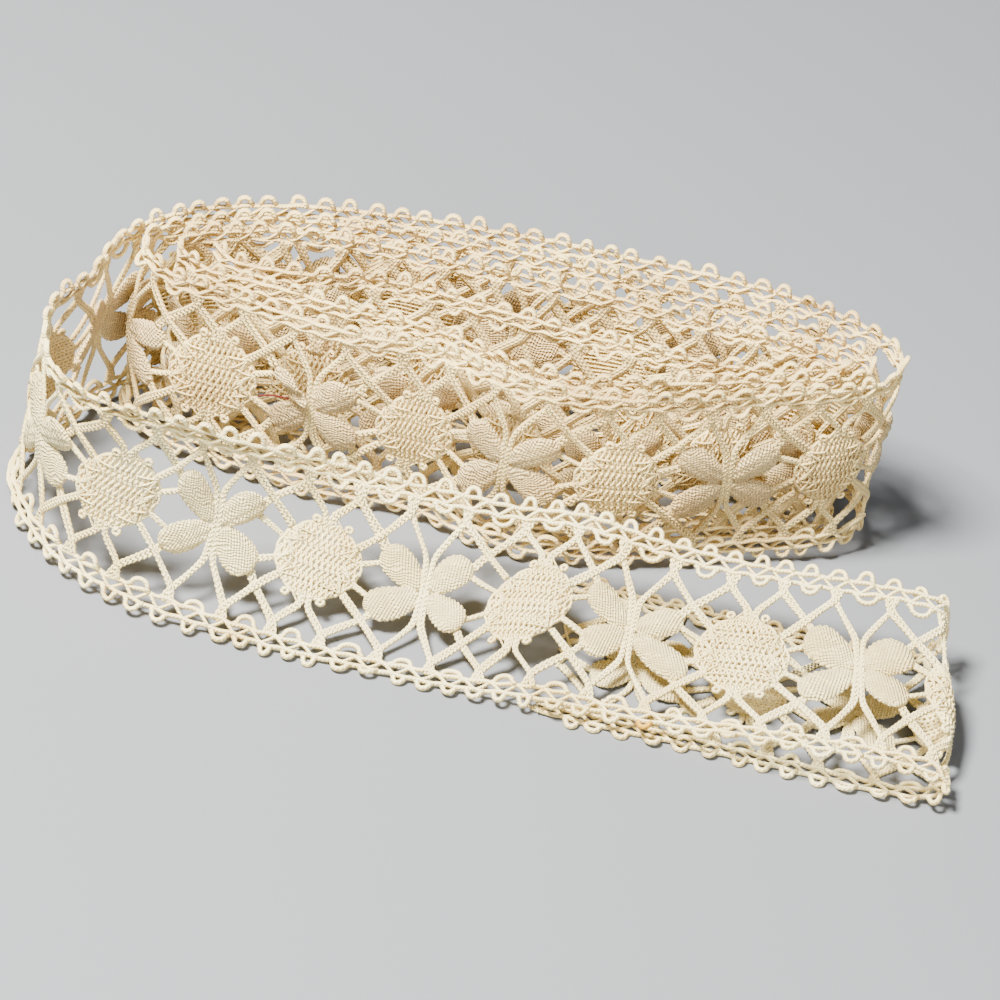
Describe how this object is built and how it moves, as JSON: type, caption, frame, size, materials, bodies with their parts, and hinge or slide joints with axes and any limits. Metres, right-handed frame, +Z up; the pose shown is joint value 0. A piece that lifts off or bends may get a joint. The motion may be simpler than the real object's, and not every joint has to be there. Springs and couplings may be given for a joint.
{
  "type": "roll of lace trim",
  "caption": "Cotton bobbin-lace trim wound as an open flattened roll on its edge, its loose end turned back along the front and folded under.",
  "frame": {"origin": "middle of the whole footprint, on the surface that the roll stands on", "axes": "+X along the flattened roll towards the fold of the loose end, +Y from the loose end towards the roll's back, +Z up"},
  "size_m": [0.2078, 0.1057, 0.0526],
  "materials": {
    "lace": "matt twisted cotton thread"
  },
  "bodies": {
    "root": {"roll": "lace", "loose_end": "lace"}
  },
  "joints": []
}
